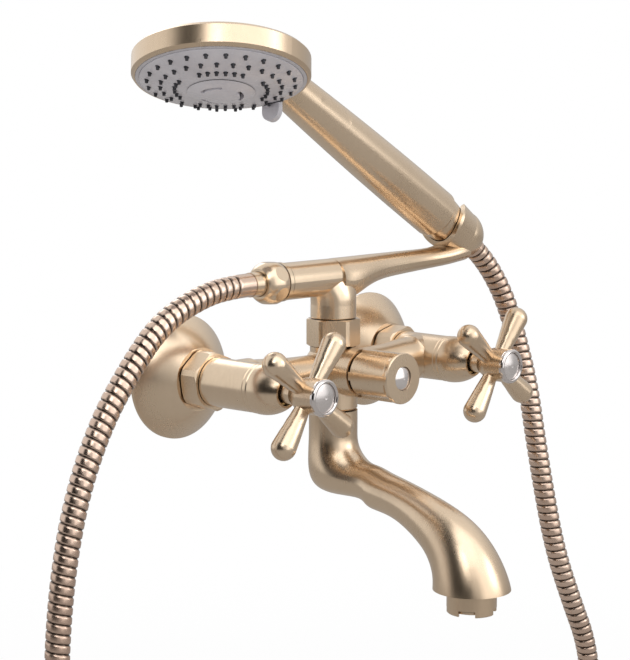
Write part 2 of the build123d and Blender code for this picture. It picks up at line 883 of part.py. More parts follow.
def arm_section(x, low, high, half_width):
    """Oval section of the holder's right arm, square to X."""
    frame = Plane(origin=(x, -stem_out, axis_rise + (low + high) / 2), x_dir=(0, -1, 0), z_dir=(1, 0, 0))
    return frame * Ellipse(half_width, (high - low) / 2)


def holder_arm():
    top = arm_axis + outlet_arm_radius
    stem = upward() * turned(
        (0, stem_start),
        (stem_radius - 0.3, stem_start),
        (stem_radius, stem_start + 0.4),
        (stem_radius, stem_blend[0][0] + 1.0),
        (0, stem_blend[0][0] + 1.0),
    )
    stem += loft([upward(height) * scale(Circle(1), by=(wide, deep, 1)) for height, wide, deep in stem_blend])
    left = outlet() * rod(outlet_arm_radius, 0, outlet_arm_end - 0.4)
    left += outlet() * rod(outlet_arm_radius - 0.6, 0, outlet_arm_end)
    rows = [
        (-2.0, 39.5, top, 11.2),
        (12.0, 38.5, top + 0.2, 11.0),
        (20.0, 41.8, top + 0.3, 10.2),
        (28.0, 44.6, top + 0.4, 9.2),
        (44.0, 47.4, top + 0.5, 8.0),
        (64.0, 48.9, top + 0.6, 7.4),
        (80.0, 50.0, top + 0.9, 8.2),
        (93.0, 51.0, top + 2.6, 10.0),
        (106.0, 52.4, top + 4.4, 10.4),
    ]
    right = loft([arm_section(*row) for row in rows])
    holder = stem + left + right + cradle_outside()
    holder -= cradle_inside()
    holder -= upward() * rod(holder_tail_radius + thread_gap, stem_start, stem_start + holder_tail_grip)
    holder -= upward() * rod(passage_radius, stem_start, arm_axis)
    valve_end = outlet_arm_end - outlet_plug_length
    holder -= outlet() * turned(
        (0, -2),
        (passage_radius - 0.2, -2),
        (passage_radius - 0.2, valve_end - check_valve_length),
        (check_valve_radius + thread_gap, valve_end - check_valve_length),
        (check_valve_radius + thread_gap, valve_end),
        (outlet_plug_radius + thread_gap, valve_end),
        (outlet_plug_radius + thread_gap, outlet_arm_end + 1),
        (0, outlet_arm_end + 1),
    )
    return holder


def cradle_outside():
    end = -cradle_length
    body = turned(
        (0, end),
        (cradle_end_radius - 0.6, end),
        (cradle_end_radius, end + 0.8),
        ((cradle_waist_radius - 1.6, end * 0.84), (cradle_waist_radius, end * 0.58)),
        (cradle_radius, cradle_rim - 2),
        (cradle_radius - 0.4, cradle_rim),
        (0, cradle_rim),
    )
    saddle = Pos(0, 0, cradle_rim - cradle_saddle) * across(cradle_saddle, 2 * cradle_radius)
    return hand() * (body & saddle)


def cradle_inside():
    top = -cone_flange
    inside = turned(
        (0, -cone_length - cone_gap),
        (cone_end_radius + cone_gap, -cone_length - cone_gap),
        (cone_top_radius + cone_gap, top),
        (cone_top_radius + cone_gap, cradle_rim + 12),
        (0, cradle_rim + 12),
    )
    inside += rod(cradle_exit_radius, -cradle_length - 12, top)
    reach = cradle_radius + 12
    slot = Pos(0, reach / 2, 0) * block(cradle_slot, reach, -cradle_length - 8, cradle_rim + 8)
    return hand() * (inside + slot)


def outlet_nipple():
    start = outlet_arm_end + 0.4
    collar_high = start + outlet_collar_width
    end = collar_high + outlet_nipple_length
    nipple = rod(outlet_plug_radius, outlet_arm_end - outlet_plug_length + 0.2, start)
    nipple += rod(outlet_collar_radius, start, collar_high)
    nipple += rod(outlet_nipple_radius, collar_high, end)
    nipple -= rod(passage_radius - 1, 0, end)
    return outlet() * nipple


def check_valve():
    high = outlet_arm_end - outlet_plug_length
    low = high - check_valve_length
    cage = tube(check_valve_radius, check_valve_radius - 1.6, low, high)
    cage += rod(check_valve_radius - 1, low, low + 1.6) - rod(3.0, low, low + 2)
    cage += rod(3.4, low + 1.6, low + 3.2) + rod(1.0, low + 1.6, high - 1)
    for turn in (0, 90):
        cage += Rot(0, 0, turn) * block(2 * check_valve_radius - 2, 1.0, high - 2, high - 1)
    return outlet() * cage


# Hose and its ends
nut_low = outlet_arm_end + 0.4 + outlet_collar_width + 0.4
nut_high = nut_low + ball_nut_length
hose_washer_low = outlet_arm_end + 0.4 + outlet_collar_width + outlet_nipple_length


def ball_nut():
    middle = (nut_low + nut_high) / 2
    ball = turned(
        (0, nut_low),
        (ball_nut_radius - 1.3, nut_low),
        ((ball_nut_radius, middle - 1.0), (ball_nut_radius - 3.6, nut_high)),
        (0, nut_high),
    )
    prism = Pos(0, 0, nut_low) * extrude(RegularPolygon(ball_nut_flats / sqrt(3), 6), ball_nut_length)
    nut = ball & prism
    nut -= rod(outlet_nipple_radius + thread_gap, nut_low, nut_high - ball_nut_wall)
    nut -= rod(ferrule_radius + slip_gap, nut_low, nut_high)
    return outlet() * nut


def hose_end_outlet():
    flange_low = hose_washer_low + hand_washer
    flange = rod(outlet_nipple_radius - 0.3, flange_low, nut_high - ball_nut_wall)
    sleeve = rod(ferrule_radius, flange_low, ferrule_end)
    return outlet() * (flange + sleeve - rod(hose_bore, flange_low, ferrule_end))


def hose_washers():
    low = hose_washer_low
    left = outlet() * tube(outlet_nipple_radius - 0.3, passage_radius - 1, low, low + hand_washer)
    return [left]


def cone_nut():
    top = -0.4
    nut = turned(
        (0, -cone_length),
        (cone_end_radius - 0.8, -cone_length),
        (cone_end_radius, -cone_length + 0.8),
        (cone_top_radius, -cone_flange),
        (cone_top_radius, top - 0.4),
        (cone_top_radius - 0.4, top),
        (0, top),
    )
    nut -= rod(outlet_nipple_radius + thread_gap, -hose_start, top)
    nut -= rod(hose_radius + 0.45, -cone_length, top)
    return hand() * nut


hose_start = inlet_nipple_length + hand_washer + hose_flange


def hose_end_hand():
    flange = rod(outlet_nipple_radius - 0.3, -hose_start, -hose_start + hose_flange)
    return hand() * (flange - rod(hose_bore, -hose_start, 0))


def hand_washer_ring():
    high = -inlet_nipple_length
    return hand() * tube(outlet_nipple_radius - 0.3, passage_radius, high - hand_washer, high)


def hose_route():
    """Corner points of the hose, from the holder's outlet round to the handle's lower end."""
    slope = radians(hand_slope)
    along = Vector(cos(slope), 0, -sin(slope))
    start = Vector(-ferrule_end, -stem_out, axis_rise + arm_axis)
    end = Vector(hand_x, -stem_out, axis_rise + hand_z) + along * hose_start
    lead = end + along * hose_lead
    straight = start + Vector(-outlet_lead, 0, 0)
    middle = [Vector(x, y, z + axis_rise) for x, y, z in hose_route_points]
    return [start, straight, *middle, lead, end]


def hose_path():
    points = hose_route()
    runs = [(b - a).length for a, b in zip(points, points[1:])]
    radii = []
    for i in range(1, len(points) - 1):
        turn = (points[i] - points[i - 1]).get_angle(points[i + 1] - points[i])
        shorter = min(runs[i - 1], runs[i])
        half = radians(turn / 2)
        radii.append(0.45 * shorter / (sin(half) / cos(half)))
    path = FilletPolyline(*points, radius=radii)
    print("hose runs", [round(r, 1) for r in runs])
    print("hose radii", [round(r) for r in radii])
    print("hose length", round(path.length, 1))
    return path


def shower_hose():
    path = hose_path()
    pitch = path.length / (hose_ribs + 2 * 2.0)
    straight = 2.0 * pitch
    crest, groove = hose_radius, hose_radius - hose_groove
    marks = [(0.0, groove + 0.3), (straight - 0.5, groove + 0.3)]
    for rib in range(hose_ribs):
        low = straight + rib * pitch
        marks += [(low, groove), (low + pitch * 0.17, crest), (low + pitch * (0.17 + rib_share), crest), (low + pitch * 0.98, groove)]
    marks += [(path.length - straight + 0.5, groove + 0.3), (path.length, groove + 0.3)]
    rings = []
    for distance, radius in marks:
        share = min(distance / path.length, 1.0)
        frame = Plane(origin=path @ share, x_dir=(0, 1, 0), z_dir=path % share)
        rings.append(frame * Circle(radius))
    outside = loft(rings, ruled=True)
    start = Plane(origin=path @ 0, x_dir=(0, 1, 0), z_dir=path % 0)
    bore = sweep(start * Circle(hose_bore), path=path)
    print("hose volume", round(outside.volume), "bore volume", round(bore.volume), "bore section x length",
          round(3.14159 * hose_bore ** 2 * path.length))
    return outside - bore


# Hand shower
def head():
    """Frame at the centre of the face's rim: local Z out of the face, local Y away from the handle."""
    slope, turn, tip = radians(hand_slope), radians(head_twist), radians(head_tip_angle)
    along = Vector(-cos(slope), 0, sin(slope))
    upper = Vector(sin(slope), 0, cos(slope)) * cos(turn) + Vector(0, 1, 0) * sin(turn)
    sideways = Vector(sin(slope), 0, cos(slope)) * sin(turn) - Vector(0, 1, 0) * cos(turn)
    foot = Vector(hand_x, -stem_out, axis_rise + hand_z)
    centre = foot + along * head_distance - upper * head_drop
    return Plane(origin=centre, x_dir=sideways, z_dir=-along * sin(tip) - upper * cos(tip))


head_inner = head_radius - head_wall
face_radius = head_inner - selector_width - 0.3
face_sphere = (head_inner ** 2 + face_crown ** 2) / (2 * face_crown)


def crown_at(radius):
    """Height of the domed face over its rim."""
    return sqrt(face_sphere ** 2 - radius ** 2) - (face_sphere - face_crown)


def handset_shell():
    outside = turned(
        (0, 0),
        (head_radius - 1.2, 0),
        (head_radius, -1.6),
        (head_radius, -head_band + 1.6),
        (head_radius - 1.6, -head_band),
        cap_arc(head_radius - 1.6, -head_band, -head_dome),
    )
    inside = turned(
        (0, 0.5),
        (head_inner, 0.5),
        (head_inner, -head_band + head_wall + 1.2),
        (head_inner - 1.6, -head_band + head_wall),
        cap_arc(head_inner - 1.6, -head_band + head_wall, -head_dome),
    )
    handle = turned(
        (0, 0),
        (handle_bottom_radius - 0.8, 0),
        (handle_bottom_radius, 1.2),
        ((handle_mid_radius, handle_mid), (handle_top_radius, handle_top)),
        (handle_top_radius - 2.0, handle_join),
        cap_arc(handle_top_radius - 2.0, handle_join, 5.0),
    )
    shell = head() * outside + hand() * handle - head() * inside
    shell -= hand() * rod(handle_bore, 6, handle_join - 6)
    nipple = rod(outlet_nipple_radius, -inlet_nipple_length, 6.5)
    shell += hand() * nipple
    shell -= hand() * rod(passage_radius, -inlet_nipple_length, 8)
    return shell


def ring_places():
    """Angle and radius of every nozzle."""
    places = []
    for radius, count, start in (outer_ring, middle_ring):
        places += [(radius, start + 360 / count * step) for step in range(count)]
    for group in range(inner_groups):
        for step in range(inner_group_count):
            angle = inner_start + 360 / inner_groups * group + (step - (inner_group_count - 1) / 2) * inner_step
            places.append((inner_ring_radius, angle))
    return places


def cap_solid(radius, low_offset, high_offset):
    """Slice of the domed face between two offsets along its axis."""
    edge = crown_at(radius)
    mid = crown_at(radius * 0.55)
    top = crown_at(0)
    return turned(
        (0, top + low_offset),
        ((radius * 0.55, mid + low_offset), (radius, edge + low_offset)),
        (radius, edge + high_offset),
        ((radius * 0.55, mid + high_offset), (0, top + high_offset)),
    )


def nozzle_row(radius_low, radius_high, low, high):
    pegs = []
    for radius, angle in ring_places():
        height = crown_at(radius)
        peg = turned((0, height + low), (radius_low, height + low), (radius_high, height + high), (0, height + high))
        pegs.append(Rot(0, 0, angle) * Pos(radius, 0, 0) * peg)
    return pegs


def spray_face():
    face = cap_solid(face_radius, -face_thickness, 0)
    for hole in nozzle_row(nozzle_radius + nozzle_gap, nozzle_radius + nozzle_gap, -face_thickness - 1, 1):
        face -= hole
    face -= rod(centre_disc_radius - 3.0, -10, 20)
    return head() * face


def nozzle_mat():
    low = -face_thickness - mat_thickness
    mat = cap_solid(face_radius - 1.0, low, -face_thickness) - rod(centre_disc_radius - 3.0, -20, 20)
    for peg in nozzle_row(nozzle_radius, nozzle_tip_radius, -face_thickness - 0.4, nozzle_rise):
        mat += peg
    return head() * mat


def arc_slot(radius, width, middle, span):
    """Curved slot cutter through the centre disc."""
    ring = tube(radius + width / 2, radius - width / 2, 0, 20)
    wedge = Pos(0, 0, 0) * extrude(Rot(0, 0, middle) * make_face(Polyline(
        (0, 0), (30 * cos(radians(span / 2)), 30 * sin(radians(span / 2))),
        (40, 0), (30 * cos(radians(span / 2)), -30 * sin(radians(span / 2))), close=True)), 20)
    return ring & wedge


def centre_disc():
    height = crown_at(centre_disc_radius) + centre_disc_rise
    disc = turned(
        (0, crown_at(0) - face_thickness),
        (centre_disc_radius - 3.1, crown_at(0) - face_thickness),
        (centre_disc_radius - 3.1, crown_at(centre_disc_radius - 3.1) + 0.05),
        (centre_disc_radius - 0.6, crown_at(centre_disc_radius - 3.1) + 0.05),
        cap_arc(centre_disc_radius - 0.6, crown_at(centre_disc_radius - 3.1) + 0.05, centre_disc_rise + 1.8),
    )
    for step in range(3):
        disc -= arc_slot(slot_radius, slot_width, slot_start + 120 * step, 68)
        disc -= Pos(0, 0, height + 0.2) * arc_slot(fine_slot_radius, fine_slot_width, slot_start + 60 + 120 * step, 60)
    return head() * disc


def selector_ring():
    outer = head_inner - 0.15
    ring = tube(outer, outer - selector_width, -selector_depth, 0.3)
    edge = outer - 0.1
    straight = tab_drop - tab_width / 2
    tab = Pos(edge - tab_thickness / 2, 0, 0) * block(tab_thickness, tab_width, -selector_depth + 0.4, straight)
    tab += Pos(edge - tab_thickness / 2, 0, straight) * Rot(0, 90, 0) * Cylinder(tab_width / 2, tab_thickness)
    tab &= rod(edge, -selector_depth, tab_drop + 1)
    tab -= rod(outer - selector_width + 0.1, -selector_depth, crown_at(edge - tab_thickness) + 0.4)
    return head() * Rot(0, 0, handle_side - tab_turn) * (ring + tab)


handle_side = 270.0


def distributor():
    """Water plate behind the nozzle mat, with its ports and a rim that seals on the shell."""
    high = -face_thickness - mat_thickness - plate_gap
    plate = cap_solid(face_radius - 3.0, high - plate_thickness, high)
    for radius, count in ((34.0, 16), (26.5, 12), (8.0, 3)):
        for step in range(count):
            plate -= Rot(0, 0, 360 / count * step) * Pos(radius, 0, 0) * rod(1.6, -20, 20)
    return head() * plate


def head_gasket():
    high = crown_at(face_radius - 0.8) - face_thickness - mat_thickness - plate_gap
    return head() * tube(face_radius - 0.8, face_radius - 0.8 - gasket_section, high - plate_thickness, high - 0.2)


for side, sign in (("left", -1), ("right", 1)):
    x = sign * side_x
    write(f"eccentric_union_{side}", eccentric_union(x))
    write(f"wall_flange_{side}", wall_flange(x))
    write(f"union_nut_{side}", union_nut(x))
    write(f"union_tail_{side}", union_tail(x))
    write(f"cartridge_housing_{side}", cartridge_housing(x))
    write(f"fixed_disc_{side}", fixed_disc(x))
    write(f"moving_disc_{side}", moving_disc(x))
    write(f"spindle_{side}", spindle(x))
    write(f"bonnet_cover_{side}", bonnet_cover(x))
    write(f"cross_handle_{side}", cross_handle(x))
    write(f"handle_screw_{side}", handle_screw(x))
    write(f"index_ring_{side}", index_ring(x))
    write(f"index_cap_{side}", index_cap(x))
write("union_washers", union_washer(-side_x), union_washer(side_x))
write("cartridge_seals", cartridge_seal(-side_x), cartridge_seal(side_x))
write("mixer_body", mixer_body())
write("diverter_sleeve", diverter_sleeve())
write("diverter_rotor", diverter_rotor())
write("diverter_knob", diverter_knob())
write("diverter_screw", diverter_screw())
write("diverter_button", diverter_button())
write("spout", spout())
write("spout_o_rings", *spout_o_rings())
write("spout_set_screw", spout_set_screw())
write("aerator_shell", aerator_shell())
write("aerator_insert", aerator_insert())
write("aerator_washer", aerator_washer_ring())
write("holder_nut", holder_nut())
write("holder_washer", holder_washer())
write("holder_tail", holder_tail())
write("shower_holder", holder_arm())
write("outlet_nipple", outlet_nipple())
write("check_valve", check_valve())
write("hose_nut", ball_nut())
write("hose_end_outlet", hose_end_outlet())
write("hose_washer", *hose_washers())
write("hose_cone_nut", cone_nut())
write("hose_end_handset", hose_end_hand())
write("handset_washer", hand_washer_ring())
write("shower_hose", shower_hose())
write("handset_shell", handset_shell())
write("spray_face", spray_face())
write("nozzle_mat", nozzle_mat())
write("centre_disc", centre_disc())
write("selector_ring", selector_ring())
write("distributor_plate", distributor())
write("head_gasket", head_gasket())
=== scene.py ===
# Bath mixer with a hand shower: camera, studio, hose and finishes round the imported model.
import json
import math

import bpy
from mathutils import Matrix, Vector


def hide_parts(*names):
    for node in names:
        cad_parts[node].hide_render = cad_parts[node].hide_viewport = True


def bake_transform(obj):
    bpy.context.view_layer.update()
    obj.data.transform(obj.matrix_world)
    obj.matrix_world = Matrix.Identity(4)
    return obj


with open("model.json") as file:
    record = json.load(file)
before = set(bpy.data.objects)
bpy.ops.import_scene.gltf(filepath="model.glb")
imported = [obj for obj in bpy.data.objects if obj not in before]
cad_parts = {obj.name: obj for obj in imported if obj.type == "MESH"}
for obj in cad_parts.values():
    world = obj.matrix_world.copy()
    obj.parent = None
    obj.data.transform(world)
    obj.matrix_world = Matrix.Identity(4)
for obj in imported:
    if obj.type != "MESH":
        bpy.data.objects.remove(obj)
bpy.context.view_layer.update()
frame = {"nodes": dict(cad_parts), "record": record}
nodes = frame["nodes"]
scene = bpy.context.scene
scene.view_settings.view_transform = "Standard"
print("stage: packed model loaded,", len(nodes), "nodes")


# camera at the photograph's viewing angle
cameraSettings = {
    "place": (-0.7471, -0.7354, 0.1577),
    "azimuth": -46.617,
    "elevation": 7.173,
    "lens": 103.18,
    "sensor": 36.0,
    "nearest": 0.02,
}


def addCamera(settings):
    lensData = bpy.data.cameras.new("studioCamera")
    lensData.sensor_fit = "VERTICAL"
    lensData.sensor_height = settings["sensor"]
    lensData.lens = settings["lens"]
    lensData.clip_start = settings["nearest"]
    camera = bpy.data.objects.new("studioCamera", lensData)
    camera.location = settings["place"]
    camera.rotation_euler = (math.radians(90 - settings["elevation"]), 0, math.radians(settings["azimuth"]))
    scene.collection.objects.link(camera)
    scene.camera = camera


addCamera(cameraSettings)
print("stage: camera in place")


# shader helpers: each makes one node, then links or sets its inputs
def addNode(tree, kind, inputs=None, **settings):
    made = tree.nodes.new(kind)
    for name, value in settings.items():
        setattr(made, name, value)
    for name, value in (inputs or {}).items():
        if isinstance(value, bpy.types.NodeSocket):
            tree.links.new(value, made.inputs[name])
        else:
            made.inputs[name].default_value = value
    return made


def newGroup(name, inputs, outputs):
    tree = bpy.data.node_groups.new(name, "ShaderNodeTree")
    for label, kind, value in inputs:
        socket = tree.interface.new_socket(label, in_out="INPUT", socket_type="NodeSocket" + kind)
        if value is not None:
            socket.default_value = value
    for label, kind in outputs:
        tree.interface.new_socket(label, in_out="OUTPUT", socket_type="NodeSocket" + kind)
    return tree, tree.nodes.new("NodeGroupInput").outputs, tree.nodes.new("NodeGroupOutput").inputs


def mixColour(tree, amount, first, second):
    # a mix node keeps its colour inputs in sockets 6 and 7, and its colour output in socket 2
    return addNode(tree, "ShaderNodeMix", {0: amount, 6: first, 7: second}, data_type="RGBA").outputs[2]


def mixValue(tree, amount, first, second):
    return addNode(tree, "ShaderNodeMix", {0: amount, 2: first, 3: second}, data_type="FLOAT").outputs[0]


def mixShader(tree, amount, first, second):
    return addNode(tree, "ShaderNodeMixShader", {0: amount, 1: first, 2: second}).outputs[0]


def mathNode(tree, operation, *values):
    return addNode(tree, "ShaderNodeMath", dict(enumerate(values)), operation=operation).outputs[0]


def vectorNode(tree, operation, *values):
    return addNode(tree, "ShaderNodeVectorMath", dict(enumerate(values)), operation=operation).outputs


def mapRange(tree, value, low, high, newLow=0.0, newHigh=1.0, smooth=False):
    inputs = {"Value": value, "From Min": low, "From Max": high, "To Min": newLow, "To Max": newHigh}
    style = "SMOOTHSTEP" if smooth else "LINEAR"
    return addNode(tree, "ShaderNodeMapRange", inputs, interpolation_type=style).outputs["Result"]


def addNoise(tree, place, scale, detail, roughness):
    inputs = {"Vector": place, "Scale": scale, "Detail": detail, "Roughness": roughness}
    return addNode(tree, "ShaderNodeTexNoise", inputs).outputs["Fac"]


# effect: tone that drifts over a metal surface, with fine brushing and small marks
# each noise is given as its scale, detail and roughness
satinSettings = {
    "driftNoise": (11.0, 2.0, 0.5),
    "driftRange": (0.35, 0.68),
    "driftTone": 0.45,
    "brushNoise": (1.0, 2.0, 0.6),
    "brushRange": (0.3, 0.75),
    "brushTone": 0.12,
    "brushHeight": 0.6,
    "markNoise": (420.0, 4.0, 0.7),
    "markRange": (0.60, 0.74),
    "markRoughness": 0.12,
    "markHeight": -0.8,
}


def makeSatinGroup():
    inputs = [
        ("Light", "Color", (0.8, 0.6, 0.4, 1)),
        ("Deep", "Color", (0.5, 0.35, 0.2, 1)),
        ("Brushing", "Vector", (900.0, 900.0, 60.0)),
        ("Roughness Low", "Float", 0.18),
        ("Roughness High", "Float", 0.3),
        ("Marks", "Float", 0.3),
    ]
    outputs = [("Color", "Color"), ("Roughness", "Float"), ("Height", "Float")]
    tree, given, out = newGroup("satinMetal", inputs, outputs)
    place = tree.nodes.new("ShaderNodeTexCoord").outputs["Object"]
    drift = addNoise(tree, place, *satinSettings["driftNoise"])
    patch = mapRange(tree, drift, *satinSettings["driftRange"], smooth=True)
    stretched = vectorNode(tree, "MULTIPLY", place, given["Brushing"])[0]
    brush = addNoise(tree, stretched, *satinSettings["brushNoise"])
    speck = addNoise(tree, place, *satinSettings["markNoise"])
    scuffs = mathNode(tree, "MULTIPLY", mapRange(tree, speck, *satinSettings["markRange"]), given["Marks"])
    drifted = mapRange(tree, patch, 0.0, 1.0, 0.0, satinSettings["driftTone"])
    toned = mixColour(tree, drifted, given["Light"], given["Deep"])
    streaks = mapRange(tree, brush, *satinSettings["brushRange"], 0.0, satinSettings["brushTone"])
    tree.links.new(mixColour(tree, streaks, toned, given["Deep"]), out["Color"])
    spread = mathNode(tree, "SUBTRACT", given["Roughness High"], given["Roughness Low"])
    lift = mathNode(tree, "ADD", mathNode(tree, "MULTIPLY", patch, 0.5), mathNode(tree, "MULTIPLY", brush, 0.5))
    rough = mathNode(tree, "MULTIPLY_ADD", lift, spread, given["Roughness Low"])
    scuffed = mathNode(tree, "MULTIPLY", scuffs, satinSettings["markRoughness"])
    tree.links.new(mathNode(tree, "ADD", rough, scuffed), out["Roughness"])
    raised = mathNode(tree, "MULTIPLY", brush, satinSettings["brushHeight"])
    sunk = mathNode(tree, "MULTIPLY", scuffs, satinSettings["markHeight"])
    tree.links.new(mathNode(tree, "ADD", raised, sunk), out["Height"])
    return tree


# effect: the faint pebbled skin and cloudy tone of moulded plastic and rubber
mouldSettings = {
    "cloudNoise": (60.0, 3.0, 0.5),
    "cloudRange": (0.3, 0.7),
    "grainDetail": (2.0, 0.5),
}


def makeMouldGroup():
    inputs = [
        ("Light", "Color", (0.8, 0.8, 0.8, 1)),
        ("Deep", "Color", (0.7, 0.7, 0.7, 1)),
        ("Grain Scale", "Float", 900.0),
        ("Roughness Low", "Float", 0.25),
        ("Roughness High", "Float", 0.4),
    ]
    outputs = [("Color", "Color"), ("Roughness", "Float"), ("Height", "Float")]
    tree, given, out = newGroup("mouldedSkin", inputs, outputs)
    place = tree.nodes.new("ShaderNodeTexCoord").outputs["Object"]
    cloud = addNoise(tree, place, *mouldSettings["cloudNoise"])
    grain = addNoise(tree, place, given["Grain Scale"], *mouldSettings["grainDetail"])
    amount = mapRange(tree, cloud, *mouldSettings["cloudRange"], smooth=True)
    tree.links.new(mixColour(tree, amount, given["Light"], given["Deep"]), out["Color"])
    spread = mathNode(tree, "SUBTRACT", given["Roughness High"], given["Roughness Low"])
    tree.links.new(mathNode(tree, "MULTIPLY_ADD", amount, spread, given["Roughness Low"]), out["Roughness"])
    tree.links.new(grain, out["Height"])
    return tree


satinGroup = makeSatinGroup()
mouldGroup = makeMouldGroup()

# finishes: one entry for each material slot of the record, with the bump in millimetres and the colour of the
# painted shade in corners, between parts and in the hose's grooves
finishes = {
    "antique_brass": {
        "group": satinGroup, "light": (0.84, 0.665, 0.485), "deep": (0.55, 0.395, 0.25), "rough": (0.22, 0.33),
        "metallic": 1.0, "bump": 0.0035, "marks": 0.1, "brushing": (700, 700, 90),
        "paintedShadeColour": (0.10, 0.055, 0.03), "coat": 0.3,
    },
    "cast_brass": {
        "group": satinGroup, "light": (0.80, 0.62, 0.32), "deep": (0.60, 0.43, 0.20), "rough": (0.26, 0.42),
        "metallic": 1.0, "bump": 0.03, "marks": 0.6, "brushing": (300, 1400, 300),
        "paintedShadeColour": (0.18, 0.11, 0.05), "coat": 0.0,
    },
    "hose_steel": {
        "group": satinGroup, "light": (0.80, 0.61, 0.49), "deep": (0.52, 0.35, 0.26), "rough": (0.2, 0.32),
        "metallic": 1.0, "bump": 0.01, "marks": 0.2, "brushing": (500, 500, 500),
        "paintedShadeColour": (0.03, 0.018, 0.012), "coat": 0.2,
    },
    "chrome_ring": {
        "group": satinGroup, "light": (0.82, 0.77, 0.75), "deep": (0.66, 0.60, 0.57), "rough": (0.10, 0.18),
        "metallic": 1.0, "bump": 0.004, "marks": 0.2, "brushing": (900, 900, 900),
        "paintedShadeColour": (0.12, 0.12, 0.12), "coat": 0.0,
    },
    "steel": {
        "group": satinGroup, "light": (0.64, 0.64, 0.66), "deep": (0.47, 0.47, 0.49), "rough": (0.24, 0.4),
        "metallic": 1.0, "bump": 0.02, "marks": 0.5, "brushing": (400, 1200, 400),
        "paintedShadeColour": (0.08, 0.08, 0.08), "coat": 0.0,
    },
    "silver_cap": {
        "group": mouldGroup, "light": (0.83, 0.78, 0.76), "deep": (0.70, 0.65, 0.63), "rough": (0.16, 0.26),
        "metallic": 0.85, "bump": 0.006, "grain": 1400.0, "paintedShadeColour": (0.25, 0.24, 0.25), "coat": 0.4,
    },
    "ceramic": {
        "group": mouldGroup, "light": (0.91, 0.90, 0.87), "deep": (0.84, 0.83, 0.79), "rough": (0.12, 0.2),
        "metallic": 0.0, "bump": 0.004, "grain": 1800.0, "paintedShadeColour": (0.35, 0.34, 0.32), "coat": 0.2,
    },
    "rubber": {
        "group": mouldGroup, "light": (0.035, 0.035, 0.036), "deep": (0.02, 0.02, 0.02), "rough": (0.55, 0.75),
        "metallic": 0.0, "bump": 0.05, "grain": 1600.0, "paintedShadeColour": (0.008, 0.008, 0.008), "coat": 0.0,
    },
    "face_plastic": {
        "group": mouldGroup, "light": (0.82, 0.795, 0.84), "deep": (0.73, 0.705, 0.75), "rough": (0.22, 0.34),
        "metallic": 0.0, "bump": 0.01, "grain": 1200.0, "paintedShadeColour": (0.05, 0.048, 0.055), "coat": 0.25,
    },
    "nozzle_rubber": {
        "group": mouldGroup, "light": (0.045, 0.045, 0.055), "deep": (0.025, 0.025, 0.03), "rough": (0.45, 0.6),
        "metallic": 0.0, "bump": 0.03, "grain": 1500.0, "paintedShadeColour": (0.01, 0.01, 0.012), "coat": 0.0,
    },
    "selector_plastic": {
        "group": mouldGroup, "light": (0.74, 0.72, 0.76), "deep": (0.66, 0.64, 0.68), "rough": (0.24, 0.36),
        "metallic": 0.0, "bump": 0.012, "grain": 1200.0, "paintedShadeColour": (0.2, 0.2, 0.22), "coat": 0.2,
    },
    "inner_plastic": {
        "group": mouldGroup, "light": (0.62, 0.62, 0.58), "deep": (0.53, 0.53, 0.5), "rough": (0.4, 0.55),
        "metallic": 0.0, "bump": 0.03, "grain": 1100.0, "paintedShadeColour": (0.2, 0.2, 0.19), "coat": 0.0,
    },
}
# painted shade in corners and between parts: its reach in metres, the openness at which it starts and is full,
# its strength
surfaceSettings = {
    "paintedShadeReach": 0.0022,
    "paintedShadeRange": (0.62, 0.15),
    "paintedShadeDepth": 0.85,
    "paintedShadeSamples": 8,
    "bumpStrength": 0.5,
    "coatRoughness": 0.2,
}


def makeFinish(name, finish, paintedShadeLayer=None):
    material = bpy.data.materials.new(name)
    material.use_nodes = True
    tree = material.node_tree
    tree.nodes.clear()
    inputs = {
        "Light": (*finish["light"], 1),
        "Deep": (*finish["deep"], 1),
        "Roughness Low": finish["rough"][0],
        "Roughness High": finish["rough"][1],
    }
    if "brushing" in finish:
        inputs["Brushing"] = tuple(float(value) for value in finish["brushing"])
        inputs["Marks"] = finish["marks"]
    else:
        inputs["Grain Scale"] = finish["grain"]
    effect = addNode(tree, "ShaderNodeGroup", inputs, node_tree=finish["group"])
    # on the hose the painted shade in its grooves comes from the mesh's groove layer
    if paintedShadeLayer:
        shade = addNode(tree, "ShaderNodeAttribute", attribute_name=paintedShadeLayer).outputs["Fac"]
    else:
        # painted shade: the less open the surface is to its surroundings, the darker its colour
        reach = {"Distance": surfaceSettings["paintedShadeReach"]}
        samples = surfaceSettings["paintedShadeSamples"]
        openness = addNode(tree, "ShaderNodeAmbientOcclusion", reach, samples=samples).outputs["AO"]
        limits = (*surfaceSettings["paintedShadeRange"], 0.0, surfaceSettings["paintedShadeDepth"])
        shade = mapRange(tree, openness, *limits, smooth=True)
    # painted shade mixed into the colour: on the hose from its groove layer, on every other piece from its
    # corners
    colour = mixColour(tree, shade, effect.outputs["Color"], (*finish["paintedShadeColour"], 1))
    bump = addNode(tree, "ShaderNodeBump", {
        "Height": effect.outputs["Height"],
        "Strength": surfaceSettings["bumpStrength"],
        "Distance": finish["bump"] / 1000,
    })
    shader = addNode(tree, "ShaderNodeBsdfPrincipled", {
        "Base Color": colour,
        "Roughness": effect.outputs["Roughness"],
        "Normal": bump.outputs["Normal"],
        "Metallic": finish["metallic"],
        "Coat Weight": finish["coat"],
        "Coat Roughness": surfaceSettings["coatRoughness"],
    })
    addNode(tree, "ShaderNodeOutputMaterial", {"Surface": shader.outputs["BSDF"]})
    return material


# painted shade: the hose's own mesh carries the shade of its grooves as a layer, every other piece is shaded
# darker in its corners
paintedGrooveShadeLayers = {"hose_steel": "groove"}
materials = {name: makeFinish(name, finish, paintedGrooveShadeLayers.get(name)) for name, finish in finishes.items()}
for row in frame["record"]["subparts"]:
    target = nodes[row["node"]]
    if not target.data.materials:
        target.data.materials.append(None)
    for slot in target.material_slots:
        slot.material = materials[row["material_slot"]]
print("stage: finishes on every node,", len(materials), "materials")


